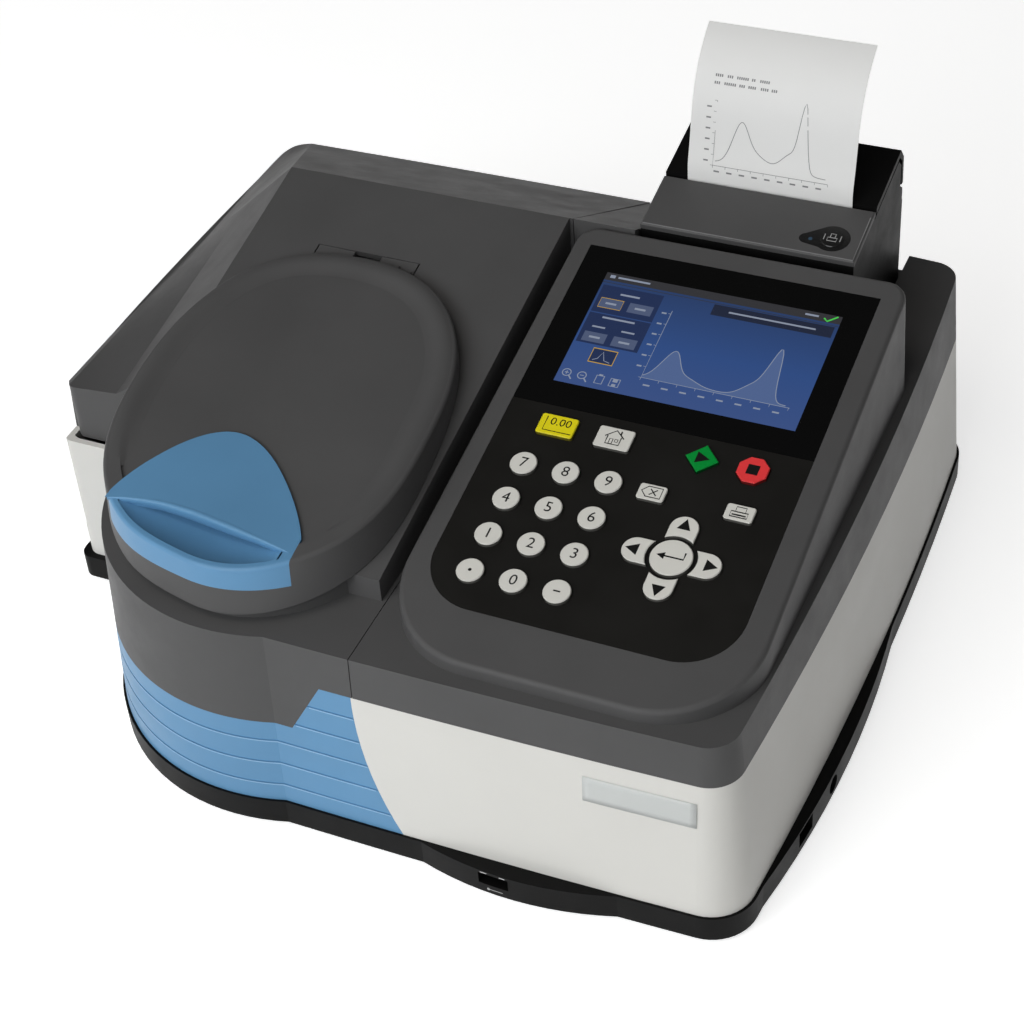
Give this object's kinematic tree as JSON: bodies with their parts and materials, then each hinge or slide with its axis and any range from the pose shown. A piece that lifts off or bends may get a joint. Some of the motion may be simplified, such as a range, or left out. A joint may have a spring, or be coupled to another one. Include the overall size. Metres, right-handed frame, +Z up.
{
  "type": "visible spectrophotometer",
  "caption": "Benchtop visible spectrophotometer with a round sample compartment under a hinged oval lid, a tilted display and keypad, and a snap-in strip printer.",
  "frame": {"origin": "middle of the footprint on the bench, at the bottom of the feet", "axes": "+X to the right, +Y to the rear, +Z up, seen from the user at the front"},
  "size_m": [0.388, 0.3516, 0.2391],
  "materials": {
    "cover_grey": "satin",
    "wall_white": "satin",
    "blue_plastic": "satin",
    "base_black": "satin",
    "rubber": "matte",
    "overlay_black": "matte",
    "window_black": "gloss",
    "display_glass": "gloss",
    "board_green": "satin",
    "key_white": "matte",
    "key_yellow": "matte",
    "key_green": "matte",
    "key_red": "matte",
    "steel": "brushed",
    "aluminium": "satin",
    "anodised": "black anodised",
    "paper": "matte"
  },
  "bodies": {
    "base": {"base_tray": "base_black", "rubber_feet": "rubber", "base_screws": "steel", "wall_shell": "wall_white", "blue_panel": "blue_plastic", "left_cover": "cover_grey", "right_cover": "cover_grey", "keypad_overlay": "overlay_black", "display_window": "window_black", "display_module": "display_glass", "keypad_board": "board_green", "hinge_bracket": "steel", "sample_well": "base_black", "cuvette_holder": "anodised", "printer_body": "base_black", "printer_panel": "cover_grey", "paper_strip": "paper", "print_head": "aluminium", "optics_deck": "aluminium", "tungsten_lamp": "aluminium", "optics_mounts": "anodised", "stepper_motor": "steel", "detector_board": "board_green", "main_board": "board_green", "fan_frame": "base_black", "base_sockets": "steel", "power_switch": "base_black"},
    "key_7": {"key_7": "key_white"},
    "key_8": {"key_8": "key_white"},
    "key_9": {"key_9": "key_white"},
    "key_4": {"key_4": "key_white"},
    "key_5": {"key_5": "key_white"},
    "key_6": {"key_6": "key_white"},
    "key_1": {"key_1": "key_white"},
    "key_2": {"key_2": "key_white"},
    "key_3": {"key_3": "key_white"},
    "key_decimal": {"key_decimal": "key_white"},
    "key_0": {"key_0": "key_white"},
    "key_minus": {"key_minus": "key_white"},
    "key_enter": {"key_enter": "key_white"},
    "key_backspace": {"key_backspace": "key_white"},
    "key_print": {"key_print": "key_white"},
    "key_zero": {"key_zero": "key_yellow"},
    "key_home": {"key_home": "key_white"},
    "key_start": {"key_start": "key_green"},
    "key_stop": {"key_stop": "key_red"},
    "key_right": {"key_right": "key_white"},
    "key_up": {"key_up": "key_white"},
    "key_left": {"key_left": "key_white"},
    "key_down": {"key_down": "key_white"},
    "lid": {"sample_lid": "cover_grey", "lid_handle": "blue_plastic"},
    "printer_door": {"printer_door": "base_black"},
    "feed_button": {"feed_button": "overlay_black"},
    "paper_roll": {"paper_roll": "paper"},
    "platen": {"platen_roller": "rubber"},
    "grating": {"grating_mount": "anodised"},
    "filter_wheel": {"filter_wheel": "anodised"},
    "fan": {"fan_rotor": "base_black"},
    "power_rocker": {"power_rocker": "base_black"}
  },
  "joints": [
    {"name": "lid_hinge", "type": "hinge", "parent": "base", "child": "lid", "pos_m": [-0.065, 0.0252, 0.15379], "axis": [-1, 0, 0], "range_deg": [0, 75]},
    {"name": "press_7", "type": "slide", "parent": "base", "child": "key_7", "axis": [0, 0.2326, -0.9726], "range_m": [0, 0.0008], "stiffness_N_per_m": 300, "springref_m": -0.0005},
    {"name": "press_8", "type": "slide", "parent": "base", "child": "key_8", "axis": [0, 0.2326, -0.9726], "range_m": [0, 0.0008], "stiffness_N_per_m": 300, "springref_m": -0.0005},
    {"name": "press_9", "type": "slide", "parent": "base", "child": "key_9", "axis": [0, 0.2326, -0.9726], "range_m": [0, 0.0008], "stiffness_N_per_m": 300, "springref_m": -0.0005},
    {"name": "press_4", "type": "slide", "parent": "base", "child": "key_4", "axis": [0, 0.2326, -0.9726], "range_m": [0, 0.0008], "stiffness_N_per_m": 300, "springref_m": -0.0005},
    {"name": "press_5", "type": "slide", "parent": "base", "child": "key_5", "axis": [0, 0.2326, -0.9726], "range_m": [0, 0.0008], "stiffness_N_per_m": 300, "springref_m": -0.0005},
    {"name": "press_6", "type": "slide", "parent": "base", "child": "key_6", "axis": [0, 0.2326, -0.9726], "range_m": [0, 0.0008], "stiffness_N_per_m": 300, "springref_m": -0.0005},
    {"name": "press_1", "type": "slide", "parent": "base", "child": "key_1", "axis": [0, 0.2326, -0.9726], "range_m": [0, 0.0008], "stiffness_N_per_m": 300, "springref_m": -0.0005},
    {"name": "press_2", "type": "slide", "parent": "base", "child": "key_2", "axis": [0, 0.2326, -0.9726], "range_m": [0, 0.0008], "stiffness_N_per_m": 300, "springref_m": -0.0005},
    {"name": "press_3", "type": "slide", "parent": "base", "child": "key_3", "axis": [0, 0.2326, -0.9726], "range_m": [0, 0.0008], "stiffness_N_per_m": 300, "springref_m": -0.0005},
    {"name": "press_decimal", "type": "slide", "parent": "base", "child": "key_decimal", "axis": [0, 0.2326, -0.9726], "range_m": [0, 0.0008], "stiffness_N_per_m": 300, "springref_m": -0.0005},
    {"name": "press_0", "type": "slide", "parent": "base", "child": "key_0", "axis": [0, 0.2326, -0.9726], "range_m": [0, 0.0008], "stiffness_N_per_m": 300, "springref_m": -0.0005},
    {"name": "press_minus", "type": "slide", "parent": "base", "child": "key_minus", "axis": [0, 0.2326, -0.9726], "range_m": [0, 0.0008], "stiffness_N_per_m": 300, "springref_m": -0.0005},
    {"name": "press_enter", "type": "slide", "parent": "base", "child": "key_enter", "axis": [0, 0.2326, -0.9726], "range_m": [0, 0.0008], "stiffness_N_per_m": 300, "springref_m": -0.0005},
    {"name": "press_backspace", "type": "slide", "parent": "base", "child": "key_backspace", "axis": [0, 0.2326, -0.9726], "range_m": [0, 0.0008], "stiffness_N_per_m": 300, "springref_m": -0.0005},
    {"name": "press_print", "type": "slide", "parent": "base", "child": "key_print", "axis": [0, 0.2326, -0.9726], "range_m": [0, 0.0008], "stiffness_N_per_m": 300, "springref_m": -0.0005},
    {"name": "press_zero", "type": "slide", "parent": "base", "child": "key_zero", "axis": [0, 0.2326, -0.9726], "range_m": [0, 0.0008], "stiffness_N_per_m": 300, "springref_m": -0.0005},
    {"name": "press_home", "type": "slide", "parent": "base", "child": "key_home", "axis": [0, 0.2326, -0.9726], "range_m": [0, 0.0008], "stiffness_N_per_m": 300, "springref_m": -0.0005},
    {"name": "press_start", "type": "slide", "parent": "base", "child": "key_start", "axis": [0, 0.2326, -0.9726], "range_m": [0, 0.0008], "stiffness_N_per_m": 300, "springref_m": -0.0005},
    {"name": "press_stop", "type": "slide", "parent": "base", "child": "key_stop", "axis": [0, 0.2326, -0.9726], "range_m": [0, 0.0008], "stiffness_N_per_m": 300, "springref_m": -0.0005},
    {"name": "press_right", "type": "slide", "parent": "base", "child": "key_right", "axis": [0, 0.2326, -0.9726], "range_m": [0, 0.0008], "stiffness_N_per_m": 300, "springref_m": -0.0005},
    {"name": "press_up", "type": "slide", "parent": "base", "child": "key_up", "axis": [0, 0.2326, -0.9726], "range_m": [0, 0.0008], "stiffness_N_per_m": 300, "springref_m": -0.0005},
    {"name": "press_left", "type": "slide", "parent": "base", "child": "key_left", "axis": [0, 0.2326, -0.9726], "range_m": [0, 0.0008], "stiffness_N_per_m": 300, "springref_m": -0.0005},
    {"name": "press_down", "type": "slide", "parent": "base", "child": "key_down", "axis": [0, 0.2326, -0.9726], "range_m": [0, 0.0008], "stiffness_N_per_m": 300, "springref_m": -0.0005},
    {"name": "press_feed", "type": "slide", "parent": "base", "child": "feed_button", "axis": [0, 0.2326, -0.9726], "range_m": [0, 0.0006], "stiffness_N_per_m": 300, "springref_m": -0.0005},
    {"name": "printer_door_hinge", "type": "hinge", "parent": "base", "child": "printer_door", "pos_m": [0.09935, 0.1501, 0.16], "axis": [-1, 0, 0], "range_deg": [0, 65]},
    {"name": "platen_spin", "type": "hinge", "parent": "printer_door", "child": "platen", "pos_m": [0.09935, 0.11689, 0.16642], "axis": [1, 0, 0], "continuous": true},
    {"name": "paper_roll_spin", "type": "hinge", "parent": "base", "child": "paper_roll", "pos_m": [0.09935, 0.1247, 0.134], "axis": [1, 0, 0], "continuous": true},
    {"name": "filter_wheel_spin", "type": "hinge", "parent": "base", "child": "filter_wheel", "pos_m": [0.123, 0.0207, 0.05712], "axis": [0, 1, 0], "continuous": true},
    {"name": "grating_turn", "type": "hinge", "parent": "base", "child": "grating", "pos_m": [0.061, 0.0307, 0.04], "axis": [0, 0, 1], "range_deg": [-35, 35]},
    {"name": "fan_spin", "type": "hinge", "parent": "base", "child": "fan", "pos_m": [0.093, 0.1467, 0.052], "axis": [0, 1, 0], "continuous": true},
    {"name": "power_rocker_tilt", "type": "hinge", "parent": "base", "child": "power_rocker", "pos_m": [0.143, 0.167, 0.045], "axis": [1, 0, 0], "range_deg": [-8, 8]}
  ],
  "couplings": [
    {"joint": "paper_roll_spin", "follows": "platen_spin", "ratio": 0.25}
  ]
}
